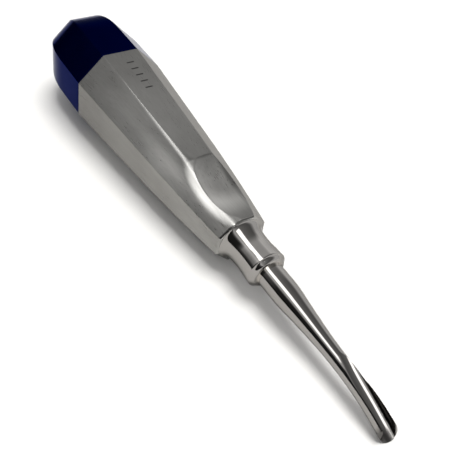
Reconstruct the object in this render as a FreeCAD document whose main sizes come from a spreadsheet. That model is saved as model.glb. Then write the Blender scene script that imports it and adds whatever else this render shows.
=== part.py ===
import FreeCAD, Part
import math
import os
import Sketcher
from FreeCAD import Vector, Placement, Rotation

# Dental luxating elevator: octagonal hollow grip, polished neck collar,
# tapering shank with a gouge blade, blue end cap.
# Tool axis = local X of every body: x = 0 at the joint between cap and grip,
# +X towards the tip, local +Z out of the facet that carries the thumb scoop.
# Every body carries one common Placement that lays the tool down, nose low,
# on the widest edge of the grip's lower facet and on the blade's belly.

os.makedirs("parts", exist_ok=True)
doc = FreeCAD.newDocument("elevator")
sheet = doc.addObject("Spreadsheet::Sheet", "Sheet")

# name, value (mm or degrees)
ROWS = [
    # grip
    ("grip_len", 69.45), ("flat_len", 34.7), ("apo_rear", 13.304),
    ("apo_flat", 10.643), ("apo_front", 7.012), ("facet_arc", 627.0),
    ("bore_big", 9.60), ("bore_big_len", 32.0), ("bore_small", 6.00),
    ("bulkhead", 52.0), ("tang_bore", 2.55), ("spigot_bore", 4.03),
    ("spigot_seat", 59.35), ("mouth_chamfer", 0.4),
    # thumb scoop: a torus cut
    ("scoop_at", 61.0), ("scoop_floor", 6.08), ("scoop_long", 31.6),
    ("scoop_cross", 25.0), ("scoop_half", 9.0), ("scoop_sweep", 84.0),
    # end cap
    ("cap_flat", 12.0), ("cap_len", 31.2), ("cap_spigot", 9.57),
    ("cap_spigot_len", 7.0), ("cap_bore", 7.0), ("cap_bore_end", 18.0),
    ("ring_groove", 8.0), ("ring_at", 4.2), ("ring_groove_width", 2.0),
    ("ring_mid", 8.79), ("ring_cord", 0.78),
    ("key_pin", 0.90), ("key_hole", 0.92), ("key_offset", 11.4),
    ("key_half", 4.0), ("key_depth", 4.2),
    # neck collar
    ("flare", 6.95), ("neck_end", 82.2), ("waist", 5.30), ("bead", 5.59),
    ("spigot", 4.00), ("spigot_end", 59.45), ("collar_bore", 2.54),
    ("shank_seat", 80.0), ("shank_pocket", 3.67),
    ("cross_at", 64.0), ("cross_hole", 0.77), ("cross_pin", 0.75),
    ("cross_half", 3.95),
    # blade, shank and tang
    ("tang", 2.50), ("tang_end", 45.5), ("tang_chamfer", 0.5),
    ("shank", 3.64), ("shank_straight", 89.6), ("tip_end", 130.60),
    ("tip_round", 2.55),
    ("fillet_top", 4.08), ("fillet_end", 83.15),
    # tang fastening
    ("washer_out", 5.0), ("washer_in", 2.65), ("washer_thick", 1.0),
    ("nut_flats", 8.0), ("nut_thick", 4.0), ("nut_bore", 2.52),
    # rest pose
    ("pose_pitch", 3.1527), ("pose_x", -49.3534), ("pose_z", 13.2839),
]
VAL = {}
for i, (name, value) in enumerate(ROWS, 1):
    sheet.set("A%d" % i, name)
    sheet.set("B%d" % i, repr(value))
    sheet.setAlias("B%d" % i, name)
    VAL[name] = value
doc.recompute()


class Q:
    """A number that carries the sheet expression it comes from."""

    def __init__(self, v, e):
        self.v, self.e = float(v), e

    def __add__(self, o):
        o = q(o)
        return Q(self.v + o.v, "(%s + %s)" % (self.e, o.e))

    def __sub__(self, o):
        o = q(o)
        return Q(self.v - o.v, "(%s - %s)" % (self.e, o.e))

    def __mul__(self, o):
        o = q(o)
        return Q(self.v * o.v, "(%s * %s)" % (self.e, o.e))

    def __neg__(self):
        return Q(-self.v, "(0 - %s)" % self.e)


def q(x):
    return x if isinstance(x, Q) else Q(x, "%.6f" % x if x >= 0 else "(0 - %.6f)" % -x)


def S(name):
    return Q(VAL[name], "Sheet." + name)


BODIES = []


def volume(body):
    doc.recompute()
    return body.Shape.Volume



def new_body(name):
    b = doc.addObject("PartDesign::Body", name)
    b.Label = name
    BODIES.append(b)
    return b


def origin(body, role):
    for f in body.Origin.OriginFeatures:
        if f.Role == role:
            return f
    raise RuntimeError("no " + role)


def sketch(body, name, plane, shift=None):
    sk = body.newObject("Sketcher::SketchObject", name)
    sk.AttachmentSupport = (origin(body, plane), [""])
    sk.MapMode = "FlatFace"
    if shift is not None:
        shift = q(shift)
        sk.AttachmentOffset = Placement(Vector(0, 0, shift.v), Rotation())
        sk.setExpression("AttachmentOffset.Base.z", shift.e)
    return sk


def pin_point(sk, geo, pos, x, y, tag):
    """Fix one sketch point at (x, y), each bound to the sheet."""
    x, y = q(x), q(y)
    for kind, val, ax in (("DistanceX", x, "x"), ("DistanceY", y, "y")):
        if abs(val.v) < 1e-9:
            sk.addConstraint(Sketcher.Constraint("PointOnObject", geo, pos, -2 if ax == "x" else -1))
            continue
        n = sk.addConstraint(Sketcher.Constraint(kind, -1, 1, geo, pos, val.v))
        sk.renameConstraint(n, tag + ax)
        sk.setExpression("Constraints." + tag + ax, val.e)


def outline(sk, items):
    """Closed outline: items are (x, y) corners; an ("arc", x, y) between two
    corners bends that side through the point given."""
    pts, arcs = [], {}
    for it in items:
        if it[0] == "arc":
            arcs[len(pts) - 1] = (q(it[1]).v, q(it[2]).v)
        else:
            pts.append((q(it[0]), q(it[1])))
    n, first, ends = len(pts), None, []
    for i in range(n):
        a, b = pts[i], pts[(i + 1) % n]
        A, B = Vector(a[0].v, a[1].v, 0), Vector(b[0].v, b[1].v, 0)
        if i in arcs:
            M = Vector(arcs[i][0], arcs[i][1], 0)
            ccw = (M - A).cross(B - M).z > 0
            arc = Part.Arc(A, M, B) if ccw else Part.Arc(B, M, A)
            g = sk.addGeometry(arc, False)
            # the centre is held along whichever axis the chord faces
            c = sk.Geometry[g].Center
            hold = ("y", c.y) if abs(B.x - A.x) > abs(B.y - A.y) else ("x", c.x)
            ends.append((g, 1 if ccw else 2, 2 if ccw else 1, hold))
        else:
            g = sk.addGeometry(Part.LineSegment(A, B), False)
            ends.append((g, 1, 2, None))
    for i in range(n):
        g, s, e, _ = ends[i]
        g2, s2, _, _ = ends[(i + 1) % n]
        sk.addConstraint(Sketcher.Constraint("Coincident", g, e, g2, s2))
    for i in range(n):
        g, s, _, hold = ends[i]
        pin_point(sk, g, s, pts[i][0], pts[i][1], "p%d" % i)
        if hold is not None:
            ax, c = hold
            if abs(c) < 1e-9:
                sk.addConstraint(Sketcher.Constraint("PointOnObject", g, 3, -2 if ax == "x" else -1))
            else:
                kind = "DistanceX" if ax == "x" else "DistanceY"
                sk.addConstraint(Sketcher.Constraint(kind, -1, 1, g, 3, c))
    sk.solve()
    return sk


def circle(sk, x, y, r, tag="c"):
    x, y, r = q(x), q(y), q(r)
    g = sk.addGeometry(Part.Circle(Vector(x.v, y.v, 0), Vector(0, 0, 1), r.v), False)
    pin_point(sk, g, 3, x, y, tag)
    n = sk.addConstraint(Sketcher.Constraint("Radius", g, r.v))
    sk.renameConstraint(n, tag + "r")
    sk.setExpression("Constraints." + tag + "r", r.e)


def turn(body, sk, name, cut=False):
    f = body.newObject("PartDesign::Groove" if cut else "PartDesign::Revolution", name)
    f.Profile = sk
    f.ReferenceAxis = (sk, ["H_Axis"])
    f.Angle = 360.0
    doc.recompute()
    return f


def pad(body, sk, name, length, mid=False, rev=False):
    f = body.newObject("PartDesign::Pad", name)
    f.Profile = sk
    length = q(length)
    f.Length = length.v
    f.setExpression("Length", length.e)
    f.Midplane = mid
    f.Reversed = rev
    doc.recompute()
    return f


def drill(body, sk, name, length, mid=False, rev=False):
    before = volume(body)
    f = body.newObject("PartDesign::Pocket", name)
    f.Profile = sk
    length = q(length)
    f.Length = length.v
    f.setExpression("Length", length.e)
    f.Midplane = mid
    f.Reversed = rev
    doc.recompute()
    if volume(body) > before - 1e-3:
        raise RuntimeError(name + " removed nothing")
    return f


def mill_facets(body, name, rim):
    """Eight identical facets milled round the X axis: rim lists the facet's
    height along the tool, and everything outside it is cut away."""
    sk = sketch(body, name + "_profile", "XZ_Plane")
    outline(sk, rim)
    before = volume(body)
    f = body.newObject("PartDesign::Pocket", name)
    f.Profile = sk
    f.Type = "Length"
    f.Length = 60.0
    f.Midplane = True
    doc.recompute()
    pat = body.newObject("PartDesign::PolarPattern", name + "_pattern")
    pat.Originals = [f]
    pat.Axis = (origin(body, "X_Axis"), [""])
    pat.Angle = 360.0
    pat.Occurrences = 8
    body.Tip = pat
    doc.recompute()
    if volume(body) > before - 10:
        raise RuntimeError(name + " removed nothing")


COS = 0.9238795325

# ---------------------------------------------------------------- grip shell
b = new_body("handle_shell")
blank = S("apo_rear") * (1 / COS) + 0.6     # round stock, a little over the corners
sk = outline(sketch(b, "shell_blank", "XZ_Plane"),
             [(0, 0), (0, blank), (S("grip_len"), blank), (S("grip_len"), 0)])
turn(b, sk, "shell_turned")
mid_x = 52.1
mid_y = 10.643 - 0.0767 * 17.4 - 0.0008 * 17.4 ** 2
mill_facets(b, "shell_facets",
            [(-1, S("apo_rear") + 0.0767), (S("flat_len"), S("apo_flat")), ("arc", mid_x, mid_y),
             (S("grip_len"), S("apo_front")), (S("grip_len") + 2, S("apo_front") - 0.28),
             (S("grip_len") + 2, 22), (-1, 22)])
# hollow from the rear, in two steps, up to the bulkhead
sk = outline(sketch(b, "shell_bores", "XZ_Plane"),
             [(-1, 0), (-1, S("bore_big") + S("mouth_chamfer") + 1), (0, S("bore_big") + S("mouth_chamfer")),
              (S("mouth_chamfer"), S("bore_big")), (S("bore_big_len"), S("bore_big")),
              (S("bore_big_len") + 3, S("bore_small")), (S("bulkhead"), S("bore_small")),
              (S("bulkhead"), S("tang_bore")), (S("spigot_seat"), S("tang_bore")),
              (S("spigot_seat"), S("spigot_bore")), (S("grip_len") + 1, S("spigot_bore")),
              (S("grip_len") + 1, 0)])
v0 = volume(b)
turn(b, sk, "shell_hollow", cut=True)
if volume(b) > v0 - 100:
    raise RuntimeError("hollow removed nothing")
# thumb scoop through the upper facet
sk = sketch(b, "scoop_section", "YZ_Plane", S("scoop_at"))
half = S("scoop_half")
edge_z = S("scoop_floor") + 81.0 / (2 * 25.0)
outline(sk, [(-half, edge_z), ("arc", 0, S("scoop_floor")), (half, edge_z), (half, 20), (-half, 20)])
ax = sk.addGeometry(Part.LineSegment(Vector(-5, 37.68, 0), Vector(5, 37.68, 0)), True)
axis_z = S("scoop_floor") + S("scoop_long")
pin_point(sk, ax, 1, -5, axis_z, "axa")
pin_point(sk, ax, 2, 5, axis_z, "axb")
v0 = volume(b)
f = b.newObject("PartDesign::Groove", "thumb_scoop")
f.Profile = sk
f.ReferenceAxis = (sk, ["Axis0"])
f.Midplane = True
f.Angle = S("scoop_sweep").v
f.setExpression("Angle", "Sheet.scoop_sweep")
doc.recompute()
if volume(b) > v0 - 50:
    raise RuntimeError("thumb scoop removed nothing")
# blind hole that takes the key pin
sk = sketch(b, "key_hole_shell", "YZ_Plane")
circle(sk, 0, -S("key_offset"), S("key_hole"))
drill(b, sk, "key_socket_shell", S("key_depth"), rev=True)

# ------------------------------------------------------------------ end cap
b = new_body("end_cap")
sk = outline(sketch(b, "cap_blank", "XZ_Plane"),
             [(-S("cap_len"), 0), (-S("cap_len"), blank), (0, blank), (0, S("cap_spigot")),
              (S("cap_spigot_len") - 0.5, S("cap_spigot")), (S("cap_spigot_len"), S("cap_spigot") - 0.5),
              (S("cap_spigot_len"), 0)])
turn(b, sk, "cap_turned")


def dome(x):
    """Facet height on the dome, x behind the seam: a superellipse."""
    u = (x - 12.0) / 19.5
    return 13.304 * (1 - u ** 2.3) ** (1 / 2.3)


mill_facets(b, "cap_facets",
            [(1, S("apo_rear")), (-S("cap_flat"), S("apo_rear")), ("arc", -17.5, 12.906),
             (-22.0, dome(22.0)), ("arc", -24.6, dome(24.6)), (-26.8, dome(26.8)),
             ("arc", -28.8, dome(28.8)), (-30.3, dome(30.3)), ("arc", -30.80, 4.56),
             (-S("cap_len"), 3.4), (-S("cap_len") - 1, 0.6), (-S("cap_len") - 1, 22), (1, 22)])
sk = outline(sketch(b, "cap_hollow_profile", "XZ_Plane"),
             [(-S("cap_bore_end") - 3, 0), (-S("cap_bore_end"), S("cap_bore")),
              (S("cap_spigot_len") + 1, S("cap_bore")), (S("cap_spigot_len") + 1, 0)])
v0 = volume(b)
turn(b, sk, "cap_hollow", cut=True)
w = S("ring_groove_width") * 0.5
sk = outline(sketch(b, "ring_groove_profile", "XZ_Plane"),
             [(S("ring_at") - w, S("ring_groove")), (S("ring_at") + w, S("ring_groove")),
              (S("ring_at") + w, S("cap_spigot") + 1), (S("ring_at") - w, S("cap_spigot") + 1)])
turn(b, sk, "ring_groove", cut=True)
if volume(b) > v0 - 100:
    raise RuntimeError("cap hollow removed nothing")
sk = sketch(b, "key_hole_cap", "YZ_Plane")
circle(sk, 0, -S("key_offset"), S("key_hole"))
drill(b, sk, "key_socket_cap", S("key_depth"))

# -------------------------------------------------------------- neck collar
b = new_body("neck_collar")
L = S("grip_len")
sk = outline(sketch(b, "collar_profile", "XZ_Plane"), [
    (S("spigot_end"), 0), (S("spigot_end"), S("spigot")), (L, S("spigot")), (L, S("flare")),
    ("arc", L + 0.72, 5.99), (L + 2.45, S("waist") + 0.14),
    ("arc", L + 5.2, S("waist")), (L + 8.6, S("bead") - 0.13),
    ("arc", L + 10.15, S("bead") - 0.01), (L + 11.45, S("bead")),
    ("arc", L + 12.15, 4.98), (S("neck_end"), S("fillet_top")), (S("neck_end"), 0)])
turn(b, sk, "collar_turned")
v0 = volume(b)
sk = outline(sketch(b, "collar_bore_profile", "XZ_Plane"), [
    (S("spigot_end") - 1, 0), (S("spigot_end") - 1, S("collar_bore")), (S("shank_seat"), S("collar_bore")),
    (S("shank_seat"), S("shank_pocket")), (S("neck_end") + 1, S("shank_pocket")), (S("neck_end") + 1, 0)])
turn(b, sk, "collar_bored", cut=True)
if volume(b) > v0 - 50:
    raise RuntimeError("collar bore removed nothing")
sk = sketch(b, "cross_hole_section", "XZ_Plane")
circle(sk, S("cross_at"), 0, S("cross_hole"))
drill(b, sk, "cross_hole", 12.0, mid=True)

# --------------------------------------------- blade: gouge, shank and tang
b = new_body("blade")
sk = outline(sketch(b, "shank_profile", "XZ_Plane"), [
    (S("tang_end"), 0), (S("tang_end"), S("tang") - S("tang_chamfer")),
    (S("tang_end") + S("tang_chamfer"), S("tang")), (S("shank_seat"), S("tang")),
    (S("shank_seat"), S("shank")), (S("shank_straight"), S("shank")), (S("shank_straight"), 0)])
turn(b, sk, "shank_turned")
# the working end: round sections that shrink to the throat, then swell and
# dip towards the tip.  (along, centre height, radius)
RODS = [(89.6, 0.0, 3.64), (92.0, -0.02, 3.43), (95.0, -0.08, 3.10), (99.4, -0.20, 2.71),
        (103.7, -0.33, 2.37), (108.0, -0.45, 2.17), (112.3, -0.60, 2.11), (116.6, -0.86, 2.18),
        (121.0, -1.36, 2.29), (125.3, -2.32, 2.39), (129.6, -3.66, 2.46), (131.4, -4.28, 2.48)]
secs = []
for i, (x, z, r) in enumerate(RODS):
    sk = sketch(b, "rod_%d" % i, "YZ_Plane", S("shank_straight") + (x - 89.6))
    circle(sk, 0, z, S("shank") * (r / 3.64))
    secs.append(sk)
f = b.newObject("PartDesign::AdditiveLoft", "working_end")
f.Profile = secs[0]
f.Sections = secs[1:]
f.Ruled = False
doc.recompute()
# the gouge channel: U sections open at the top.  (along, half width, floor)
# the bottom is a shallow arc, the sides stand straight up from its ends
CUTS = [(109.0, 0.75, 1.95), (111.2, 1.15, 0.95), (114.0, 1.66, -0.35), (118.0, 1.88, -1.75),
        (122.0, 1.90, -3.00), (126.0, 1.91, -4.42), (129.6, 1.92, -5.68), (132.2, 1.94, -6.62)]
CUT_R = 3.0
secs = []
for i, (x, hw, zf) in enumerate(CUTS):
    sk = sketch(b, "gouge_%d" % i, "YZ_Plane", S("shank_straight") + (x - 89.6))
    zw = zf + CUT_R - math.sqrt(CUT_R ** 2 - hw ** 2)
    outline(sk, [(-hw, zw), ("arc", 0, zf), (hw, zw), (hw, 6.0), (-hw, 6.0)])
    secs.append(sk)
v0 = volume(b)
f = b.newObject("PartDesign::SubtractiveLoft", "gouge_channel")
f.Profile = secs[0]
f.Sections = secs[1:]
f.Ruled = False
doc.recompute()
if volume(b) > v0 - 20:
    raise RuntimeError("gouge removed nothing")
# the end ground back: side walls slope down to the floor's edge
sk = sketch(b, "tip_rake", "XZ_Plane")
t0 = S("tip_end")
outline(sk, [(t0 - 3.3, 0.4), ("arc", t0 - 1.22, -3.5), (t0 + 0.6, -7.6), (t0 + 4, -7.6), (t0 + 4, 0.4)])
drill(b, sk, "tip_raked", 20.0, mid=True)
# the bevel under the edge
sk = sketch(b, "tip_bevel", "XZ_Plane")
outline(sk, [(t0 - 3.2, -5.38), (t0 + 0.8, -6.30), (t0 + 0.8, -9.5), (t0 - 3.2, -9.5)])
drill(b, sk, "tip_bevelled", 20.0, mid=True)
# rounded tip, cut square to the flat it would lie on
sk = sketch(b, "tip_plan", "XY_Plane")
t0 = S("tip_end") - S("tip_round")
outline(sk, [(t0, 6), (t0, S("tip_round")), ("arc", S("tip_end"), 0), (t0, -S("tip_round")), (t0, -6),
             (S("tip_end") + 3, -6), (S("tip_end") + 3, 6)])
drill(b, sk, "tip_rounded", 30.0, mid=True)
sk = sketch(b, "tang_cross_section", "XZ_Plane")
circle(sk, S("cross_at"), 0, S("cross_hole"))
drill(b, sk, "tang_cross_hole", 12.0, mid=True)

# ------------------------------------------------------- small turned parts
b = new_body("shank_braze_fillet")
sk = outline(sketch(b, "fillet_profile", "XZ_Plane"), [
    (S("neck_end"), S("shank_pocket")), (S("neck_end"), S("fillet_top")),
    ("arc", S("neck_end") + 0.24, 3.86), (S("fillet_end"), S("shank_pocket") + 0.05),
    (S("fillet_end"), S("shank_pocket"))])
turn(b, sk, "fillet_ring")

b = new_body("tang_washer")
sk = outline(sketch(b, "washer_profile", "XZ_Plane"), [
    (S("bulkhead") - S("washer_thick"), S("washer_in")), (S("bulkhead") - S("washer_thick"), S("washer_out")),
    (S("bulkhead"), S("washer_out")), (S("bulkhead"), S("washer_in"))])
turn(b, sk, "washer_ring")

b = new_body("tang_nut")
nut_x = S("bulkhead") - S("washer_thick") - S("nut_thick")
sk = sketch(b, "nut_hexagon", "YZ_Plane", nut_x)
af = S("nut_flats")
outline(sk, [(af * 0.5773503, 0.0), (af * 0.2886751, af * 0.5), (-(af * 0.2886751), af * 0.5),
             (-(af * 0.5773503), 0.0), (-(af * 0.2886751), -(af * 0.5)), (af * 0.2886751, -(af * 0.5))])
pad(b, sk, "nut_pad", S("nut_thick"))
sk = sketch(b, "nut_bore_circle", "YZ_Plane", nut_x)
circle(sk, 0, 0, S("nut_bore"))
drill(b, sk, "nut_bore", S("nut_thick") + 1, rev=True)
# corners taken off both faces
af_c = af * 0.5773503
sk = outline(sketch(b, "nut_chamfer_profile", "XZ_Plane"), [
    (nut_x - 0.5, af_c - 0.95), (nut_x + 0.7, af_c + 0.35), (nut_x + 0.7, af_c + 2), (nut_x - 0.5, af_c + 2)])
turn(b, sk, "nut_chamfer", cut=True)

b = new_body("tang_cross_pin")
sk = sketch(b, "cross_pin_section", "XZ_Plane")
circle(sk, S("cross_at"), 0, S("cross_pin"))
pad(b, sk, "cross_pin_pad", S("cross_half") * 2, mid=True)

b = new_body("cap_key_pin")
sk = sketch(b, "key_pin_section", "YZ_Plane", -S("key_half"))
circle(sk, 0, -S("key_offset"), S("key_pin"))
pad(b, sk, "key_pin_pad", S("key_half") * 2)

b = new_body("cap_o_ring")
sk = sketch(b, "o_ring_section", "XZ_Plane")
circle(sk, S("ring_at"), S("ring_mid"), S("ring_cord"))
turn(b, sk, "o_ring_torus")

# --------------------------------------------------------------- rest pose
pose = Placement(Vector(VAL["pose_x"], 0, VAL["pose_z"]), Rotation(Vector(0, 1, 0), VAL["pose_pitch"]))
for b in BODIES:
    b.Placement = pose
doc.recompute()

for o in doc.Objects:
    if "Invalid" in o.State or "Error" in o.State:
        raise RuntimeError("%s: %s" % (o.Name, o.State))
total = None
for b in BODIES:
    shape = b.Shape
    if shape.isNull() or not shape.isValid() or len(shape.Solids) != 1:
        raise RuntimeError("%s: bad shape (%d solids)" % (b.Label, len(shape.Solids)))
    bb = shape.BoundBox
    print("%-20s vol %9.2f  x %8.3f %8.3f  y %7.3f %7.3f  z %7.3f %7.3f" % (
        b.Label, shape.Volume, bb.XMin, bb.XMax, bb.YMin, bb.YMax, bb.ZMin, bb.ZMax))
    shape.exportStep("parts/%s.step" % b.Label)
    total = bb if total is None else total.united(bb)
print("all: x %.4f %.4f  y %.4f %.4f  z %.4f %.4f" % (
    total.XMin, total.XMax, total.YMin, total.YMax, total.ZMin, total.ZMax))
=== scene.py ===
import math

import bpy
import numpy as np
from mathutils import Matrix, Vector


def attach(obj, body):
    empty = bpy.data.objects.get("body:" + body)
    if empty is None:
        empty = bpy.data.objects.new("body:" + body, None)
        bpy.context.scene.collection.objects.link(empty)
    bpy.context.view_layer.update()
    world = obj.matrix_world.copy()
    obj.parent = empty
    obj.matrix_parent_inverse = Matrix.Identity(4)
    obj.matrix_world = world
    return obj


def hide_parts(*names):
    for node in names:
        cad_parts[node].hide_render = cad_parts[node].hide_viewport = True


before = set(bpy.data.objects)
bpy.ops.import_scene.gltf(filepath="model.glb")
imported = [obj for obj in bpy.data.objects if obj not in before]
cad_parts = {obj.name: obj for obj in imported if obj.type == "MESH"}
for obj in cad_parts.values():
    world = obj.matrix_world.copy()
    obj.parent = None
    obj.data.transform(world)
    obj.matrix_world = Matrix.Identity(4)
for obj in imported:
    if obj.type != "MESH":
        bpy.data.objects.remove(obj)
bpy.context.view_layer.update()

# ------------------------------------------------------------------ the frame
# Tool frame: s along the tool (0 at the joint of cap and grip, + to the tip),
# y sideways, z out of the scooped facet, in mm.  The row frame lays the tool
# down by this pitch and shift, the same as the CAD bodies' Placement.
PITCH = math.radians(3.1527)
SHIFT_X, SHIFT_Z = -49.3534, 13.2839
CA, SA = math.cos(PITCH), math.sin(PITCH)


def to_row(p):
    p = np.asarray(p, float)
    x = p[..., 0] * CA + p[..., 2] * SA + SHIFT_X
    z = -p[..., 0] * SA + p[..., 2] * CA + SHIFT_Z
    return np.stack([x, p[..., 1], z], -1) / 1000.0


def dir_row(v):
    return Vector((v[0] * CA + v[2] * SA, v[1], -v[0] * SA + v[2] * CA))


# ------------------------------------------------------------- mesh utilities
def mesh_object(name, verts_mm, faces, material, sharp_deg=32.0):
    me = bpy.data.meshes.new(name)
    me.from_pydata([tuple(v) for v in to_row(verts_mm)], [], faces)
    me.validate()
    import bmesh
    bm = bmesh.new()
    bm.from_mesh(me)
    bmesh.ops.remove_doubles(bm, verts=bm.verts, dist=2e-7)
    bmesh.ops.dissolve_degenerate(bm, dist=1e-8, edges=bm.edges)
    bmesh.ops.recalc_face_normals(bm, faces=bm.faces)
    lim = math.radians(sharp_deg)
    for e in bm.edges:
        e.smooth = not (len(e.link_faces) == 2 and e.calc_face_angle(0.0) > lim)
    for f in bm.faces:
        f.smooth = True
    bm.to_mesh(me)
    bm.free()
    ob = bpy.data.objects.new(name, me)
    bpy.context.scene.collection.objects.link(ob)
    me.materials.append(material)
    wn = ob.modifiers.new("weighted", "WEIGHTED_NORMAL")
    wn.keep_sharp = True
    wn.weight = 80
    return ob


def ring_faces(rows, cols, close_rows=False):
    """Quads of a grid whose columns close on themselves."""
    out = []
    n = rows if close_rows else rows - 1
    for i in range(n):
        a, b = i * cols, ((i + 1) % rows) * cols
        for j in range(cols):
            k = (j + 1) % cols
            out.append((a + j, a + k, b + k, b + j))
    return out


def pchip(xs, ys):
    """Monotone cubic through the points."""
    xs, ys = np.array(xs, float), np.array(ys, float)
    h, d = np.diff(xs), np.diff(ys) / np.diff(xs)
    m = np.zeros(len(xs))
    for i in range(1, len(xs) - 1):
        if d[i - 1] * d[i] > 0:
            w1, w2 = 2 * h[i] + h[i - 1], h[i] + 2 * h[i - 1]
            m[i] = (w1 + w2) / (w1 / d[i - 1] + w2 / d[i])
    m[0], m[-1] = d[0], d[-1]

    def at(x):
        x = np.asarray(x, float)
        i = np.clip(np.searchsorted(xs, x) - 1, 0, len(xs) - 2)
        t = (x - xs[i]) / h[i]
        v = ((2 * t ** 3 - 3 * t ** 2 + 1) * ys[i] + (t ** 3 - 2 * t ** 2 + t) * h[i] * m[i]
             + (-2 * t ** 3 + 3 * t ** 2) * ys[i + 1] + (t ** 3 - t ** 2) * h[i] * m[i + 1])
        v = np.where(x < xs[0], ys[0] + m[0] * (x - xs[0]), v)
        return np.where(x > xs[-1], ys[-1] + m[-1] * (x - xs[-1]), v)

    return at


def soften(fun, lo, hi, sigma):
    g = np.arange(lo - 4 * sigma, hi + 4 * sigma, 0.05)
    v = fun(g)
    k = np.exp(-0.5 * (np.arange(-4 * sigma, 4 * sigma + 1e-9, 0.05) / sigma) ** 2)
    k /= k.sum()
    p = len(k) // 2
    v2 = np.convolve(np.pad(v, p, mode="edge"), k, mode="same")[p:-p]
    return lambda x: np.interp(x, g, v2)


def smax(a, b, k):
    return np.maximum(a, b) + np.maximum(k - np.abs(a - b), 0.0) ** 2 / (4 * k)


# -------------------------------------------------------- node-material tools
def new_material(name):
    m = bpy.data.materials.new(name)
    m.use_nodes = True
    nt = m.node_tree
    nt.nodes.clear()
    out = nt.nodes.new("ShaderNodeOutputMaterial")
    bs = nt.nodes.new("ShaderNodeBsdfPrincipled")
    nt.links.new(bs.outputs[0], out.inputs[0])
    return m, nt, bs


def node(nt, kind, **vals):
    n = nt.nodes.new(kind)
    for k, v in vals.items():
        if hasattr(n, k):
            setattr(n, k, v)
        else:
            n.inputs[k].default_value = v
    return n


def tool_coords(nt, scale):
    """Object coordinates turned into the tool frame and stretched."""
    tc = nt.nodes.new("ShaderNodeTexCoord")
    mp = nt.nodes.new("ShaderNodeMapping")
    mp.inputs["Rotation"].default_value = (0, -PITCH, 0)
    mp.inputs["Scale"].default_value = scale
    nt.links.new(tc.outputs["Object"], mp.inputs["Vector"])
    return mp.outputs["Vector"]


def noise(nt, vec, scale, detail=2.0, rough=0.5):
    n = nt.nodes.new("ShaderNodeTexNoise")
    n.inputs["Scale"].default_value = scale
    n.inputs["Detail"].default_value = detail
    n.inputs["Roughness"].default_value = rough
    nt.links.new(vec, n.inputs["Vector"])
    return n.outputs["Fac"]


def ramp(nt, fac, stops):
    r = nt.nodes.new("ShaderNodeValToRGB")
    r.color_ramp.elements[0].position = stops[0][0]
    r.color_ramp.elements[0].color = stops[0][1]
    r.color_ramp.elements[1].position = stops[-1][0]
    r.color_ramp.elements[1].color = stops[-1][1]
    for p, c in stops[1:-1]:
        e = r.color_ramp.elements.new(p)
        e.color = c
    nt.links.new(fac, r.inputs["Fac"])
    return r.outputs["Color"]


def math_node(nt, op, a, b=None, c=None):
    n = nt.nodes.new("ShaderNodeMath")
    n.operation = op
    for i, v in enumerate((a, b, c)):
        if v is None:
            continue
        if isinstance(v, (int, float)):
            n.inputs[i].default_value = v
        else:
            nt.links.new(v, n.inputs[i])
    return n.outputs[0]


def g(v, a=1.0):
    return (v, v, v, a)


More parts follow.
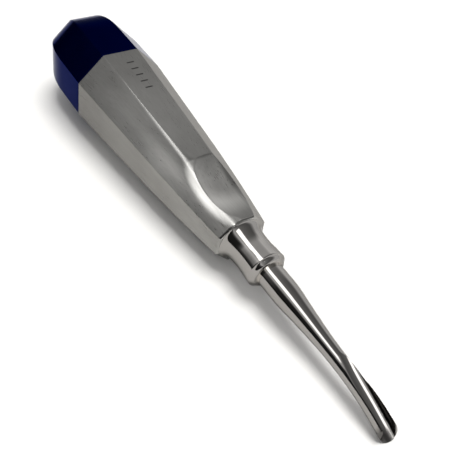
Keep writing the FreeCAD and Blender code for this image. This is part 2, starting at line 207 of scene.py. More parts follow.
def satin_steel():
    m, nt, bs = new_material("satin_steel")
    lines = noise(nt, tool_coords(nt, (14, 2600, 2600)), 1.0, 3.0, 0.6)
    fine = noise(nt, tool_coords(nt, (60, 9000, 9000)), 1.0, 2.0, 0.6)
    cloud = noise(nt, tool_coords(nt, (60, 120, 120)), 1.0, 3.0, 0.55)
    grain = noise(nt, tool_coords(nt, (4000, 4000, 4000)), 1.0, 2.0, 0.5)
    col = ramp(nt, cloud, [(0.3, (0.272, 0.268, 0.257, 1)), (0.7, (0.335, 0.330, 0.317, 1))])
    mix = nt.nodes.new("ShaderNodeMix")
    mix.data_type = "RGBA"
    mix.blend_type = "MULTIPLY"
    mix.inputs[0].default_value = 0.55
    nt.links.new(col, mix.inputs[6])
    nt.links.new(ramp(nt, lines, [(0.3, g(0.80)), (0.7, g(1.0))]), mix.inputs[7])
    # painted shade: the base colour is darkened towards the rear end of the grip, 0.77 there rising to 1.0 at the
    # front, in place of the dimmer reflections there
    rear_painted_shade = nt.nodes.new("ShaderNodeMix")
    rear_painted_shade.data_type = "RGBA"
    rear_painted_shade.blend_type = "MULTIPLY"
    rear_painted_shade.inputs[0].default_value = 1.0
    sx = nt.nodes.new("ShaderNodeSeparateXYZ")
    nt.links.new(tool_coords(nt, (1, 1, 1)), sx.inputs[0])
    fade = math_node(nt, "MULTIPLY_ADD", cloud, 0.006, sx.outputs[0])
    ends = nt.nodes.new("ShaderNodeMapRange")
    ends.inputs["From Min"].default_value = -0.047
    ends.inputs["From Max"].default_value = 0.012
    nt.links.new(fade, ends.inputs["Value"])
    nt.links.new(mix.outputs[2], rear_painted_shade.inputs[6])
    nt.links.new(ramp(nt, ends.outputs[0], [(0.0, g(0.77)), (0.6, g(0.93)), (1.0, g(1.0))]), rear_painted_shade.inputs[7])
    # the thumb scoop gets a painted highlight: its base colour is brightened along its length, with a painted
    # darker band after its entry
    inside = nt.nodes.new("ShaderNodeMapRange")
    inside.interpolation_type = "SMOOTHSTEP"
    inside.inputs["From Min"].default_value = 0.0034
    inside.inputs["From Max"].default_value = 0.0049
    inside.inputs["To Min"].default_value = 1.0
    inside.inputs["To Max"].default_value = 0.0
    nt.links.new(math_node(nt, "ABSOLUTE", sx.outputs[1]), inside.inputs["Value"])
    start = nt.nodes.new("ShaderNodeMapRange")
    start.inputs["From Min"].default_value = -0.0036
    start.inputs["From Max"].default_value = -0.0030
    nt.links.new(sx.outputs[0], start.inputs["Value"])
    run = nt.nodes.new("ShaderNodeMapRange")
    run.inputs["From Min"].default_value = -0.0036
    run.inputs["From Max"].default_value = 0.0190
    nt.links.new(fade, run.inputs["Value"])
    scoop_painted_light = ramp(nt, run.outputs[0], [(0.0, g(0.62)), (0.06, g(0.56)), (0.15, g(0.34)), (0.26, g(0.52)),
                                      (0.42, g(0.70)), (0.64, g(0.42)), (0.86, g(0.18)), (1.0, g(0.10))])
    painted_light_mask = math_node(nt, "MULTIPLY", inside.outputs[0], start.outputs[0])
    painted_light_mask = math_node(nt, "MULTIPLY", painted_light_mask, math_node(nt, "GREATER_THAN", sx.outputs[2], 0.0105))
    painted_light_mask = math_node(nt, "MULTIPLY", painted_light_mask, scoop_painted_light)

    def zone(value, lo, hi, low=0.0, high=1.0):
        z = nt.nodes.new("ShaderNodeMapRange")
        z.interpolation_type = "SMOOTHSTEP"
        z.inputs["From Min"].default_value = lo
        z.inputs["From Max"].default_value = hi
        z.inputs["To Min"].default_value = low
        z.inputs["To Max"].default_value = high
        nt.links.new(value, z.inputs["Value"])
        return z.outputs[0]

    # painted highlight: the base colour of the upper left facet is brightened along its crease and beside the
    # scoop, in place of the light caught by its rolled-over edge
    up = math_node(nt, "SUBTRACT", sx.outputs[2], 0.01055)
    facet = zone(math_node(nt, "MULTIPLY_ADD", sx.outputs[1], 0.41421, up), -0.0001, 0.0001)
    facet = math_node(nt, "MULTIPLY", facet, zone(math_node(nt, "MULTIPLY", sx.outputs[1], -1.0), 0.0039, 0.0049))
    facet = math_node(nt, "MULTIPLY", facet,
                      ramp(nt, zone(math_node(nt, "ADD", sx.outputs[1], up), -0.0055, 0.0045), [
                          (0.0, g(0.42)), (0.45, g(0.95)), (0.72, g(0.75)), (0.90, g(0.25)), (1.0, g(0.05))]))
    reach = zone(fade, -0.045, 0.019)
    facet = math_node(nt, "MULTIPLY", facet, ramp(nt, reach, [
        (0.0, g(0.06)), (0.33, g(0.12)), (0.57, g(0.36)), (0.75, g(0.56)), (0.94, g(0.46)), (1.0, g(0.34))]))
    painted_light_mask = math_node(nt, "ADD", painted_light_mask, facet)
    # painted light: the base colour is scaled by 1 + 2 times the painted-light mask of the scoop and the facet
    lift = nt.nodes.new("ShaderNodeVectorMath")
    lift.operation = "SCALE"
    nt.links.new(rear_painted_shade.outputs[2], lift.inputs[0])
    nt.links.new(math_node(nt, "MULTIPLY_ADD", painted_light_mask, 2.0, 1.0), lift.inputs["Scale"])
    nt.links.new(lift.outputs["Vector"], bs.inputs["Base Color"])
    r = math_node(nt, "MULTIPLY_ADD", lines, 0.14, 0.20)
    r = math_node(nt, "MULTIPLY_ADD", cloud, 0.06, r)
    nt.links.new(r, bs.inputs["Roughness"])
    hgt = math_node(nt, "MULTIPLY_ADD", fine, 0.15, lines)
    hgt = math_node(nt, "MULTIPLY_ADD", grain, 0.03, hgt)
    bump = nt.nodes.new("ShaderNodeBump")
    bump.inputs["Strength"].default_value = 0.16
    bump.inputs["Distance"].default_value = 0.00003
    nt.links.new(hgt, bump.inputs["Height"])
    nt.links.new(bump.outputs[0], bs.inputs["Normal"])
    bs.inputs["Metallic"].default_value = 1.0
    # the front edge and front face are buffed bright
    tc = nt.nodes.new("ShaderNodeTexCoord")
    dot = nt.nodes.new("ShaderNodeVectorMath")
    dot.operation = "DOT_PRODUCT"
    nt.links.new(tc.outputs["Object"], dot.inputs[0])
    dot.inputs[1].default_value = (CA, 0, -SA)
    base = -(SHIFT_X * CA - SHIFT_Z * SA) / 1000.0
    along = math_node(nt, "MULTIPLY_ADD", lines, 0.00035, dot.outputs["Value"])
    buff = nt.nodes.new("ShaderNodeMapRange")
    buff.inputs["From Min"].default_value = 0.0689 - base
    buff.inputs["From Max"].default_value = 0.0694 - base
    nt.links.new(along, buff.inputs["Value"])
    keep = math_node(nt, "SUBTRACT", 1.0, buff.outputs[0])
    r = math_node(nt, "MULTIPLY_ADD", math_node(nt, "SUBTRACT", r, 0.08), keep, 0.08)
    nt.links.new(r, bs.inputs["Roughness"])
    nt.links.new(math_node(nt, "MULTIPLY", keep, 0.045), bump.inputs["Strength"])
    bs.inputs["Anisotropic"].default_value = 0.55
    bs.inputs["Specular Tint"].default_value = (0.62, 0.61, 0.60, 1)
    tan = nt.nodes.new("ShaderNodeTangent")
    tan.direction_type = "RADIAL"
    tan.axis = "X"
    nt.links.new(tan.outputs[0], bs.inputs["Tangent"])
    return m


def polished_steel(name="polished_steel", tint=(0.318, 0.306, 0.294)):
    m, nt, bs = new_material(name)
    haze = noise(nt, tool_coords(nt, (90, 260, 260)), 1.0, 4.0, 0.6)
    lines = noise(nt, tool_coords(nt, (25, 3000, 3000)), 1.0, 3.0, 0.6)
    lo = tuple(c * 0.94 for c in tint) + (1,)
    r = math_node(nt, "MULTIPLY_ADD", haze, 0.03, 0.02)
    r = math_node(nt, "MULTIPLY_ADD", lines, 0.03, r)
    # the last few millimetres of the gouge's floor are ground, not polished
    sx = nt.nodes.new("ShaderNodeSeparateXYZ")
    nt.links.new(tool_coords(nt, (1, 1, 1)), sx.inputs[0])
    tip = nt.nodes.new("ShaderNodeMapRange")
    tip.interpolation_type = "SMOOTHSTEP"
    tip.inputs["From Min"].default_value = 0.0768
    tip.inputs["From Max"].default_value = 0.0788
    nt.links.new(math_node(nt, "MULTIPLY_ADD", haze, 0.0004, sx.outputs[0]), tip.inputs["Value"])
    wall = nt.nodes.new("ShaderNodeMapRange")
    wall.interpolation_type = "SMOOTHSTEP"
    wall.inputs["From Min"].default_value = 0.0012
    wall.inputs["From Max"].default_value = 0.0018
    wall.inputs["To Min"].default_value = 1.0
    wall.inputs["To Max"].default_value = 0.0
    nt.links.new(sx.outputs[1], wall.inputs["Value"])
    ground = math_node(nt, "MULTIPLY", tip.outputs[0], wall.outputs[0])
    nt.links.new(math_node(nt, "MULTIPLY_ADD", ground, 0.27, r), bs.inputs["Roughness"])
    tone = nt.nodes.new("ShaderNodeVectorMath")
    tone.operation = "SCALE"
    nt.links.new(ramp(nt, haze, [(0.3, lo), (0.7, tint + (1,))]), tone.inputs[0])
    nt.links.new(math_node(nt, "MULTIPLY_ADD", ground, -0.62, 1.0), tone.inputs["Scale"])
    nt.links.new(tone.outputs["Vector"], bs.inputs["Base Color"])
    bump = nt.nodes.new("ShaderNodeBump")
    bump.inputs["Strength"].default_value = 0.035
    bump.inputs["Distance"].default_value = 0.00002
    nt.links.new(lines, bump.inputs["Height"])
    nt.links.new(bump.outputs[0], bs.inputs["Normal"])
    bs.inputs["Metallic"].default_value = 1.0
    bs.inputs["Specular Tint"].default_value = (0.5, 0.5, 0.5, 1)
    return m


def blue_anodised():
    m, nt, bs = new_material("blue_anodised")
    cloud = noise(nt, tool_coords(nt, (110, 110, 110)), 1.0, 3.0, 0.55)
    grain = noise(nt, tool_coords(nt, (3000, 3000, 3000)), 1.0, 2.0, 0.5)
    nt.links.new(ramp(nt, cloud, [(0.3, (0.0003, 0.0020, 0.037, 1)), (0.7, (0.0004, 0.0028, 0.049, 1))]),
                 bs.inputs["Base Color"])
    nt.links.new(math_node(nt, "MULTIPLY_ADD", grain, 0.05, 0.13), bs.inputs["Roughness"])
    bump = nt.nodes.new("ShaderNodeBump")
    bump.inputs["Strength"].default_value = 0.05
    bump.inputs["Distance"].default_value = 0.00002
    nt.links.new(grain, bump.inputs["Height"])
    nt.links.new(bump.outputs[0], bs.inputs["Normal"])
    bs.inputs["Metallic"].default_value = 1.0
    bs.inputs["Specular Tint"].default_value = (0.49, 0.50, 0.58, 1)
    return m


def simple_metal(name, col, rough):
    m, nt, bs = new_material(name)
    n = noise(nt, tool_coords(nt, (900, 900, 900)), 1.0, 3.0, 0.6)
    lo = tuple(c * 0.85 for c in col) + (1,)
    nt.links.new(ramp(nt, n, [(0.3, lo), (0.7, col + (1,))]), bs.inputs["Base Color"])
    nt.links.new(math_node(nt, "MULTIPLY_ADD", n, 0.15, rough), bs.inputs["Roughness"])
    bs.inputs["Metallic"].default_value = 1.0
    return m


def rubber():
    m, nt, bs = new_material("seal_rubber")
    n = noise(nt, tool_coords(nt, (2500, 2500, 2500)), 1.0, 3.0, 0.6)
    nt.links.new(ramp(nt, n, [(0.3, g(0.012)), (0.7, g(0.03))]), bs.inputs["Base Color"])
    nt.links.new(math_node(nt, "MULTIPLY_ADD", n, 0.2, 0.55), bs.inputs["Roughness"])
    return m


def etched():
    m, nt, bs = new_material("etched_mark")
    n = noise(nt, tool_coords(nt, (5000, 5000, 5000)), 1.0, 3.0, 0.6)
    nt.links.new(ramp(nt, n, [(0.3, (0.004, 0.0035, 0.0035, 1)), (0.7, (0.016, 0.014, 0.013, 1))]),
                 bs.inputs["Base Color"])
    nt.links.new(math_node(nt, "MULTIPLY_ADD", n, 0.2, 0.5), bs.inputs["Roughness"])
    bs.inputs["Metallic"].default_value = 0.2
    return m


M_SATIN = satin_steel()
M_POLISH = polished_steel()
M_BRAZE = polished_steel("braze_alloy", (0.335, 0.315, 0.290))
M_BLUE = blue_anodised()
M_PLAIN = simple_metal("plain_steel", (0.5, 0.5, 0.5), 0.35)
M_RUBBER = rubber()
M_MARK = etched()


# --------------------------------------------------- octagonal polar surfaces
def facet_height(s):
    """Half the width across flats of the grip at s."""
    flat = 13.304 - 0.0766859 * s
    c2 = (10.643 - 0.0766859 * 34.75 - 7.012) / 34.75 ** 2
    return flat - np.where(s > 34.7, c2 * (s - 34.7) ** 2, 0.0)


FRONT_R, REAR_R = 0.75, 0.05
L_GRIP = 69.45


def scoop_z(s, y):
    rr = 31.6 - y ** 2 / 50.0
    return 37.68 - np.sqrt(np.maximum(rr ** 2 - (s - 61.0) ** 2, 1.0)) - 0.07 * y


def grip_field(s, y, z):
    a = facet_height(s)
    u = np.clip((s - (L_GRIP - FRONT_R)) / FRONT_R, 0, 1)
    a = a - FRONT_R * (1 - np.sqrt(1 - u ** 2))
    u = np.clip((REAR_R - s) / REAR_R, 0, 1)
    a = a - REAR_R * (1 - np.sqrt(1 - u ** 2))
    hw = a * 0.41421
    out = None
    for i in (0, 1, 3, 4, 5, 6, 7, 2):
        ph = i * math.pi / 4
        d = y * math.cos(ph) + z * math.sin(ph) - a
        if i == 3:
            # this facet is belt-polished: it rolls over towards the scooped
            # facet in a narrow crest, and broadly beside the thumb scoop
            t = y * 0.70711 + z * 0.70711
            w = np.clip((s - 14.0) / 26.0, 0, 1)
            band = 0.5 + 0.5 * w
            drop = 0.5 * band * (0.04 + 0.34 * w)
            d = d + drop * np.clip((t - (hw - band)) / band, 0, 2.0) ** 2
            w = np.clip((s - 41.0) / 9.0, 0, 1)
            w = w * w * (3 - 2 * w)
            roll = np.clip(1 + (z - scoop_z(s, y)) / 2.3, 0, 1.2)
            d = d + 0.62 * w * roll ** 2
        k = 0.03 + 0.10 * np.clip((s - 8.0) / 30.0, 0, 1) if i == 2 else 0.05
        out = d if out is None else smax(out, d, k)
    return smax(out, (z - scoop_z(s, y)) * 0.95, 0.06)


def cap_height(b):
    """Facet height of the cap, b mm behind the joint."""
    u = np.clip((b - 12.0) / 19.2, 0, 1)
    return 13.304 * np.maximum(1 - u ** 2.3, 0) ** (1 / 2.3)


def cap_field(s, y, z):
    b = -s
    a = cap_height(b)
    u = np.clip((REAR_R - b) / REAR_R, 0, 1)
    a = a - REAR_R * (1 - np.sqrt(1 - u ** 2))
    k = np.minimum(0.06, 0.01 + 0.03 * a)
    out = None
    for i in range(8):
        ph = i * math.pi / 4
        d = y * math.cos(ph) + z * math.sin(ph) - a
        out = d if out is None else smax(out, d, k)
    return out


def polar(field, rows, th, r_max=18.0):
    s = np.asarray(rows)[:, None] + 0 * th[None, :]
    c, sn = np.cos(th)[None, :], np.sin(th)[None, :]
    lo, hi = np.zeros_like(s), np.full_like(s, r_max)
    for _ in range(46):
        r = (lo + hi) / 2
        f = field(s, r * c, r * sn)
        hi = np.where(f > 0, r, hi)
        lo = np.where(f > 0, lo, r)
    r = (lo + hi) / 2
    return np.stack([s, r * c, r * sn], -1)


def angles(windows):
    a = list(np.arange(0, 360, 3.0))
    for c in range(8):
        m = 22.5 + 45 * c
        a += list(m + np.arange(-3.0, 3.01, 0.5))
    for lo, hi, st in windows:
        a += list(np.arange(lo, hi + 1e-6, st))
    a = np.unique(np.round(np.mod(a, 360), 3))
    keep = [a[0]]
    for v in a[1:]:
        if v - keep[-1] > 0.28:
            keep.append(v)
    return np.radians(keep)


# grip shell
th = angles([(42, 72, 0.6), (108, 138, 0.6)])
rows = list(np.arange(0.0, REAR_R + 1e-9, REAR_R / 3)) + list(np.arange(0.3, 45.5, 0.7))
rows += list(np.arange(45.4, 48.6, 0.10)) + list(np.arange(48.9, 66.4, 0.4)) + list(np.arange(66.5, 68.66, 0.14))
rows += [L_GRIP - FRONT_R]
rows += [L_GRIP - FRONT_R * (1 - math.sin(t)) for t in np.linspace(0.10, math.pi / 2, 14)]
rows = np.unique(np.round(rows, 4))
G = polar(grip_field, rows, th)
inner = [(L_GRIP, 4.03), (59.35, 4.03), (59.35, 2.55), (52.0, 2.55), (52.0, 6.0), (35.0, 6.0), (32.0, 9.6),
         (0.4, 9.6), (0.0, 10.0)]
rings = [np.stack([np.full_like(th, s), r * np.cos(th), r * np.sin(th)], -1) for s, r in inner]
V = np.concatenate([G.reshape(-1, 3), np.concatenate(rings)])
shell = mesh_object("grip_shell", V, ring_faces(len(rows) + len(inner), len(th), True), M_SATIN, 30.0)
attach(shell, "root"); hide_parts("handle_shell")

# end cap
th = angles([])
tt = np.linspace(0, 1, 46)[:-1]
rows = [0.0, REAR_R * 0.3, REAR_R] + list(np.arange(0.5, 12.0, 1.0)) + list(12.0 + 19.2 * np.sin(tt * math.pi / 2))
rows = -np.unique(np.round(rows, 4))
G = polar(cap_field, rows, th)
inner = [(0.0, 9.57), (6.5, 9.57), (7.0, 9.07), (7.0, 7.0), (-18.0, 7.0), (-20.98, 0.05)]
rings = [np.stack([np.full_like(th, s), r * np.cos(th), r * np.sin(th)], -1) for s, r in inner]
nc = len(th)
grid = G[::-1]                       # dome end first
V = np.concatenate([grid.reshape(-1, 3), np.concatenate(rings), [[-31.2, 0, 0], [-21.0, 0, 0]]])
nr = len(rows) + len(inner)
F = ring_faces(nr, nc)
p0, p1 = nr * nc, nr * nc + 1
F += [(p0, (j + 1) % nc, j) for j in range(nc)]
F += [(p1, (nr - 1) * nc + j, (nr - 1) * nc + (j + 1) % nc) for j in range(nc)]
cap = mesh_object("cap_dome", V, F, M_BLUE, 30.0)
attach(cap, "root"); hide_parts("end_cap")


# -------------------------------------------------------------- turned pieces
def lathe(name, profile, material, cols=168, sharp=32.0):
    th = np.linspace(0, 2 * math.pi, cols, endpoint=False)
    prof = np.array(profile, float)
    V = np.concatenate([np.stack([np.full_like(th, s), r * np.cos(th), r * np.sin(th)], -1) for s, r in prof])
    return mesh_object(name, V, ring_faces(len(prof), cols, True), material, sharp)


def smooth_path(pts, per=14):
    """Centripetal Catmull-Rom through (s, r) points."""
    p = np.array(pts, float)
    p = np.vstack([2 * p[0] - p[1], p, 2 * p[-1] - p[-2]])
    out = []
    for i in range(1, len(p) - 2):
        t = [0.0]
        for a, b in ((i - 1, i), (i, i + 1), (i + 1, i + 2)):
            t.append(t[-1] + np.linalg.norm(p[b] - p[a]) ** 0.5)
        for u in np.linspace(t[1], t[2], per, endpoint=False):
            A1 = (t[1] - u) / (t[1] - t[0]) * p[i - 1] + (u - t[0]) / (t[1] - t[0]) * p[i]
            A2 = (t[2] - u) / (t[2] - t[1]) * p[i] + (u - t[1]) / (t[2] - t[1]) * p[i + 1]
            A3 = (t[3] - u) / (t[3] - t[2]) * p[i + 1] + (u - t[2]) / (t[3] - t[2]) * p[i + 2]
            B1 = (t[2] - u) / (t[2] - t[0]) * A1 + (u - t[0]) / (t[2] - t[0]) * A2
            B2 = (t[3] - u) / (t[3] - t[1]) * A2 + (u - t[1]) / (t[3] - t[1]) * A3
            out.append((t[2] - u) / (t[2] - t[1]) * B1 + (u - t[1]) / (t[2] - t[1]) * B2)
    out.append(p[-2])
    return [tuple(q) for q in out]


body = smooth_path([(L_GRIP + 0.01, 6.78), (69.70, 6.42), (70.14, 6.02), (70.85, 5.68), (71.9, 5.44), (73.2, 5.32),
                    (74.6, 5.28), (76.3, 5.33), (77.9, 5.43), (79.3, 5.53), (80.4, 5.60), (80.72, 5.61)], 12)
body += [(80.72 + 0.22 * math.sin(t), 5.39 + 0.22 * math.cos(t)) for t in np.linspace(0.25, 1.25, 8)]
body += smooth_path([(81.02, 5.32), (81.2, 5.12), (81.5, 4.90), (81.8, 4.66), (82.03, 4.37), (82.2, 4.02)], 10)
collar = lathe("neck_ferrule", [(L_GRIP, 4.0), (L_GRIP, 6.70)] + body + [
    (82.2, 3.67), (80.0, 3.67), (80.0, 2.54), (59.45, 2.54), (59.45, 4.0)], M_POLISH, 200)
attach(collar, "root"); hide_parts("neck_collar")

fil = [(82.2, 4.0)] + [(82.2 + 0.93 * (1 - math.cos(t)), 4.0 - 0.32 * math.sin(t)) for t in
                       np.linspace(0.1, math.pi / 2, 12)]
braze = lathe("braze_ring", fil + [(83.13, 3.665), (82.2, 3.665)], M_BRAZE, 160)
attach(braze, "root"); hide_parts("shank_braze_fillet")

# ----------------------------------------------------- blade: shank and gouge
rod_r = soften(pchip([60, 80, 87.2, 89.6, 92.0, 95.0, 99.4, 103.7, 108.0, 112.3, 116.6, 121.0, 125.3, 129.6, 131.4],
                     [3.64, 3.64, 3.64, 3.60, 3.42, 3.10, 2.71, 2.37, 2.17, 2.11, 2.18, 2.29, 2.39, 2.46, 2.48]),
               70, 131.4, 0.9)
rod_z = soften(pchip([60, 86, 89.6, 92.0, 95.0, 99.4, 103.7, 108.0, 112.3, 116.6, 121.0, 125.3, 129.6, 131.4],
                     [0, 0, 0, -0.02, -0.08, -0.20, -0.33, -0.45, -0.60, -0.86, -1.36, -2.32, -3.66, -4.28]),
               70, 131.4, 1.2)
cut_w = soften(pchip([105, 109.0, 111.2, 114.0, 118.0, 122.0, 126.0, 129.6, 132.2],
                     [0.5, 0.62, 0.96, 1.36, 1.74, 1.86, 1.89, 1.92, 1.94]), 104, 132, 0.5)
cut_z = soften(pchip([105, 109.0, 111.2, 114.0, 118.0, 122.0, 126.0, 129.6, 132.2],
                     [3.6, 1.95, 0.95, -0.35, -1.75, -3.00, -4.42, -5.68, -6.62]), 104, 132, 0.5)
S_TAB = np.arange(80.0, 131.9, 0.1)
N = 96


RHO = 3.0                                  # radius of the gouge's bottom
cut_r = soften(pchip([105, 109.0, 111.2, 114.0, 116.5, 119.0, 122.0, 126.0, 129.6, 132.2],
                     [0.5, 0.95, 1.50, 2.15, 2.20, 2.05, 1.94, 1.92, 1.93, 1.94]), 104, 132, 0.5)


def arc(y):
    return RHO - np.sqrt(np.maximum(RHO ** 2 - np.asarray(y) ** 2, 0))


def rim(f, circ, w, side):
    """How far the cut reaches on one side, and whether a wall stands there."""
    if f + arc(w) <= circ(w):
        return w, True
    a, b = 0.0, w
    for _ in range(40):
        m = (a + b) / 2
        if f + arc(m) < circ(m):
            a = m
        else:
            b = m
    return a, False


def blade_section(s):
    r, z0, f = float(rod_r(s)), float(rod_z(s)), float(cut_z(s))
    circ = lambda y: z0 + math.sqrt(max(r * r - y * y, 0))
    base = float(np.interp(s, [80, 100, 107, 110.2], [1.2, 0.9, 0.5, 0.34]))
    cutting = s > 105.5 and f < z0 + r
    wl = wr = 0.0
    wall_l = wall_r = False
    if cutting:
        wl, wall_l = rim(f, circ, min(float(cut_w(s)), 0.97 * r), -1)
        wr, wall_r = rim(f, circ, min(float(cut_r(s)), 0.97 * r), 1)
    left, right = max(wl, base), max(wr, base)
    q = np.linspace(-1, 1, 161)
    ys = (left + right) / 2 * np.sin(q * math.pi / 2) + (right - left) / 2
    top = z0 + np.sqrt(np.maximum(r * r - ys * ys, 0))
    zz = top
    if cutting:
        u = np.where((ys >= -wl - 1e-9) & (ys <= wr + 1e-9), f + arc(ys), 9.0)
        zz = np.minimum(top, u)
        if wall_l:
            zz[0] = f + arc(wl)
            ys, zz = np.concatenate([[-left], ys]), np.concatenate([[circ(left)], zz])
        if wall_r:
            zz[-1] = f + arc(wr)
            ys, zz = np.concatenate([ys, [right]]), np.concatenate([zz, [circ(right)]])
    d = np.concatenate([[0], np.cumsum(np.hypot(np.diff(ys), np.diff(zz)))])
    q = np.linspace(0, d[-1], N)
    inner = np.stack([np.interp(q, d, ys), np.interp(q, d, zz)], -1)     # left rim to right rim
    al, ar = math.asin(min(left / r, 1)), math.asin(min(right / r, 1))
    ang = np.linspace(math.pi / 2 - ar, -1.5 * math.pi + al, N)          # right rim, under, left rim
    outer = np.stack([r * np.cos(ang), z0 + r * np.sin(ang)], -1)
    bev = -5.38 - 0.23 * (s - 127.4)
    if s > 124:
        zz = outer[:, 1]
        k = 0.10
        outer[:, 1] = np.maximum(zz, bev) + np.maximum(k - np.abs(zz - bev), 0) ** 2 / (4 * k)
        keep = inner[::-1, 1] - 0.07
        mid = slice(N // 6, N - N // 6)
        outer[mid, 1] = np.minimum(outer[mid, 1], keep[mid])
    return outer, inner


TAB = [blade_section(s) for s in S_TAB]
OUT = np.array([t[0] for t in TAB])
INN = np.array([t[1] for t in TAB])


def at(table, j, s):
    return np.array([np.interp(s, S_TAB, table[:, j, 0]), np.interp(s, S_TAB, table[:, j, 1])])


def end_of(table, j):
    s = 129.5
    for _ in range(60):
        y, z = at(table, j, s)
        rake = np.interp(-z, [-0.4, 1.0, 2.2, 3.5, 4.8, 6.2, 7.6], [127.3, 128.12, 128.75, 129.38, 129.93, 130.55, 131.2])
        plan = 127.3 + 2.87 * math.sqrt(max(1 - ((y - 0.75) / 3.3) ** 2, 0.01))
        k = 0.25
        e = min(rake, plan) - max(k - abs(rake - plan), 0) ** 2 / (4 * k)
        s = 0.5 * s + 0.5 * e
    return s


cols = [("o", j) for j in range(N)] + [("i", j) for j in range(1, N - 1)]
ends = [end_of(OUT if k == "o" else INN, j) for k, j in cols]
S_A = 117.0
fixed = list(np.arange(80.0, 86.0, 1.0)) + list(np.arange(86.0, 104.0, 0.5)) + list(np.arange(104.0, S_A, 0.25))
tparam = 1 - (1 - np.linspace(0, 1, 64)) ** 1.25
grid = []
for s in fixed:
    grid.append([(s, *at(OUT if k == "o" else INN, j, s)) for k, j in cols])
for t in tparam:
    grid.append([(S_A + (e - S_A) * t, *at(OUT if k == "o" else INN, j, S_A + (e - S_A) * t))
                 for (k, j), e in zip(cols, ends)])
grid = np.array(grid)
first = grid[0]
rings = []
for s, r in ((45.5, 2.0), (46.0, 2.5), (80.0, 2.5)):
    ring = first.copy()
    ring[:, 0] = s
    ring[:, 1:] = first[:, 1:] / 3.64 * r
    rings.append(ring)
V = np.concatenate([np.array(rings).reshape(-1, 3), grid.reshape(-1, 3), [[45.5, 0, 0]]])
nc, nr = len(cols), len(rings) + len(grid)
F = ring_faces(nr, nc)
F += [(nr * nc, (j + 1) % nc, j) for j in range(nc)]
last = (nr - 1) * nc
idx_in = lambda j: last + N + j - 1          # inner column j (1..N-2)
for j in range(N - 1):
    a, b = last + j, last + j + 1
    ia, ib = N - 1 - j, N - 2 - j            # inner partners
    quad = [a, b]
    if 1 <= ib <= N - 2:
        quad.append(idx_in(ib))
    if 1 <= ia <= N - 2:
        quad.append(idx_in(ia))
    if len(set(quad)) >= 3:
        F.append(tuple(quad))
blade = mesh_object("gouge_blade", V, F, M_POLISH, 34.0)
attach(blade, "root"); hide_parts("blade")


# ---------------------------------------------- generic size mark: five ticks
def tick_marks():
    V, F = [], []
    for i in range(5):
        s0 = 5.2 + 2.9 * i
        half_s, y0, y1 = 0.24, -0.55, 1.80
        pts = []
        n = 6
        for cy, a0 in ((y1 - half_s, 0), (y0 + half_s, math.pi)):
            for q in range(n + 1):
                a = a0 + math.pi * q / n
                pts.append((s0 + half_s * math.cos(a), cy + half_s * math.sin(a)))
        base = len(V)
        for dz in (-0.03, 0.006):
            for (s, y) in pts:
                V.append((s, y, 13.304 - 0.0766859 * s + dz))
        m = len(pts)
        F.append(tuple(base + q for q in range(m))[::-1])
        F.append(tuple(base + m + q for q in range(m)))
        for q in range(m):
            r = (q + 1) % m
            F.append((base + q, base + r, base + m + r, base + m + q))
    return V, F


V, F = tick_marks()
ticks = mesh_object("size_ticks", np.array(V), F, M_MARK, 30.0)
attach(ticks, "root")

# --------------------------------------------------- inner pieces, from CAD
INNER = {"cap_o_ring": M_RUBBER, "cap_key_pin": M_PLAIN, "tang_cross_pin": M_PLAIN, "tang_washer": M_PLAIN,
         "tang_nut": M_PLAIN}
for n, m in INNER.items():
    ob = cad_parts[n]
    if ob.material_slots:
        for slot in ob.material_slots:
            slot.material = m
    else:
        ob.data.materials.append(m)

# ------------------------------------------------------------ camera and stage
cam_data = bpy.data.cameras.new("camera")
cam_data.sensor_width = 36.0
cam_data.lens = 728.2 * 36.0 / 450.0
cam_data.clip_start = 0.01
cam_data.clip_end = 20.0
cam = bpy.data.objects.new("camera", cam_data)
bpy.context.scene.collection.objects.link(cam)
pos = to_row([164.7399, -89.8338, 134.4953])
right = dir_row((0.533839, 0.832765, 0.146693))
down = dir_row((0.656727, -0.299041, -0.692303))
fwd = dir_row((-0.532659, 0.465916, -0.706539))
cam.matrix_world = Matrix((
    (right.x, -down.x, -fwd.x, pos[0]), (right.y, -down.y, -fwd.y, pos[1]), (right.z, -down.z, -fwd.z, pos[2]),
    (0, 0, 0, 1)))
bpy.context.scene.camera = cam

fm, nt, bs = new_material("pale_floor")
bs.inputs["Base Color"].default_value = (0.90, 0.895, 0.885, 1)
bs.inputs["Roughness"].default_value = 0.75
bs.inputs["Specular IOR Level"].default_value = 0.2
me = bpy.data.meshes.new("floor")
me.from_pydata([(-3, -3, 0), (3, -3, 0), (3, 3, 0), (-3, 3, 0)], [], [(0, 1, 2, 3)])
floor = bpy.data.objects.new("floor", me)
me.materials.append(fm)
floor.location = (0, 0, -0.00002)
bpy.context.scene.collection.objects.link(floor)


def area(name, loc, target, sx, sy, power, color=(1, 1, 1), glossy=True):
    d = bpy.data.lights.new(name, "AREA")
    d.shape = "RECTANGLE"
    d.size, d.size_y = sx, sy
    d.energy = power
    d.color = color
    o = bpy.data.objects.new(name, d)
    o.location = loc
    o.rotation_euler = (Vector(target) - Vector(loc)).to_track_quat("-Z", "Y").to_euler()
    bpy.context.scene.collection.objects.link(o)
    o.visible_glossy = glossy
    return o


sun = bpy.data.lights.new("key", "SUN")
sun.energy = 2.78
sun.angle = math.radians(35)
sun.color = (1.0, 0.99, 0.97)
sun_ob = bpy.data.objects.new("key", sun)
sun_ob.rotation_euler = Vector((-0.03, -0.13, -0.99)).to_track_quat("-Z", "Y").to_euler()
bpy.context.scene.collection.objects.link(sun_ob)
sun_ob.visible_glossy = False

# long softbox overhead: seen in the steel only, the key light does the rest
strip = bpy.data.lights.new("softbox", "AREA")
strip.shape = "RECTANGLE"
strip.size, strip.size_y = 0.95, 0.29
strip.energy = 3.3 * math.pi * strip.size * strip.size_y
strip_ob = bpy.data.objects.new("softbox", strip)
strip_ob.location = (0.05, -0.225, 0.57)
strip_ob.rotation_euler = (math.radians(-22), 0, 0)
bpy.context.scene.collection.objects.link(strip_ob)
strip_ob.visible_diffuse = False

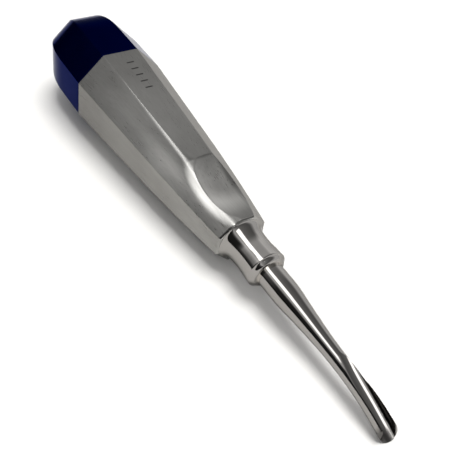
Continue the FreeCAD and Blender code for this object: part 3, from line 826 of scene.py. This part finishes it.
# The room: a pale backdrop behind the tool, a grey ceiling, one long softbox
# overhead and a dark side where the viewer stands.  It is drawn as bands of
# the angle round the X axis (0 = far horizon, 0.5 = overhead, 1 = near horizon).
world = bpy.data.worlds.new("studio")
bpy.context.scene.world = world
world.use_nodes = True
nt = world.node_tree
nt.nodes.clear()
out = nt.nodes.new("ShaderNodeOutputWorld")
bg = nt.nodes.new("ShaderNodeBackground")
tc = nt.nodes.new("ShaderNodeTexCoord")
sep = nt.nodes.new("ShaderNodeSeparateXYZ")
nt.links.new(tc.outputs["Generated"], sep.inputs[0])
turn = math_node(nt, "ARCTAN2", sep.outputs["Z"], sep.outputs["Y"])
turn = math_node(nt, "DIVIDE", turn, math.pi)
D = 1 / 180.0
GAIN = 1.2


def bands(stops):
    return ramp(nt, turn, [(p * D, g(v / GAIN)) for p, v in stops])


behind = bands([(0, 0.92), (34, 1.0), (44, 1.10), (52, 0.80), (60, 0.66), (90, 0.66), (120, 0.9), (130, 1.1), (138, 0.6),
                (148, 0.33), (158, 0.24), (168, 0.06), (180, 0.03)])
ahead = bands([(0, 0.88), (28, 0.88), (38, 0.40), (48, 0.17), (70, 0.21), (92, 0.30), (112, 0.46), (120, 0.6), (131, 0.9),
               (138, 0.18), (145, 0.03), (180, 0.02)])
fac = nt.nodes.new("ShaderNodeMapRange")
fac.interpolation_type = "SMOOTHSTEP"
fac.inputs["From Min"].default_value = -0.56
fac.inputs["From Max"].default_value = -0.36
nt.links.new(sep.outputs["X"], fac.inputs["Value"])
mix = nt.nodes.new("ShaderNodeMix")
mix.data_type = "RGBA"
nt.links.new(fac.outputs[0], mix.inputs[0])
nt.links.new(behind, mix.inputs[6])
nt.links.new(ahead, mix.inputs[7])
card = nt.nodes.new("ShaderNodeVectorMath")
card.operation = "DOT_PRODUCT"
nt.links.new(tc.outputs["Generated"], card.inputs[0])
card.inputs[1].default_value = Vector((-0.54, -0.70, 0.47)).normalized()
near = nt.nodes.new("ShaderNodeMapRange")
near.interpolation_type = "SMOOTHSTEP"
near.inputs["From Min"].default_value = math.cos(math.radians(14))
near.inputs["From Max"].default_value = math.cos(math.radians(6))
near.inputs["To Max"].default_value = 0.10
nt.links.new(card.outputs["Value"], near.inputs["Value"])
lit = nt.nodes.new("ShaderNodeMix")
lit.data_type = "RGBA"
lit.blend_type = "ADD"
lit.inputs[0].default_value = 1.0
nt.links.new(mix.outputs[2], lit.inputs[6])
edge = nt.nodes.new("ShaderNodeMapRange")
edge.inputs["From Min"].default_value = -0.50
edge.inputs["From Max"].default_value = -0.46
edge.inputs["To Min"].default_value = 1.0
edge.inputs["To Max"].default_value = 0.0
nt.links.new(sep.outputs["X"], edge.inputs["Value"])
nt.links.new(math_node(nt, "MULTIPLY", near.outputs[0], edge.outputs[0]), lit.inputs[7])
nt.links.new(lit.outputs[2], bg.inputs["Color"])
dim = nt.nodes.new("ShaderNodeMapRange")
dim.inputs["From Min"].default_value = -0.72
dim.inputs["From Max"].default_value = -0.30
nt.links.new(sep.outputs["X"], dim.inputs["Value"])
level = ramp(nt, dim.outputs[0], [((x + 0.72) / 0.42, g(v / 1.5)) for x, v in
                                  ((-0.71, 0.40), (-0.64, 0.78), (-0.60, 0.90), (-0.50, 1.30), (-0.38, 1.18),
                                   (-0.30, 1.08))])
nt.links.new(math_node(nt, "MULTIPLY", level, 1.5 * GAIN), bg.inputs["Strength"])
nt.links.new(bg.outputs[0], out.inputs[0])

bpy.context.scene.view_settings.view_transform = "Standard"
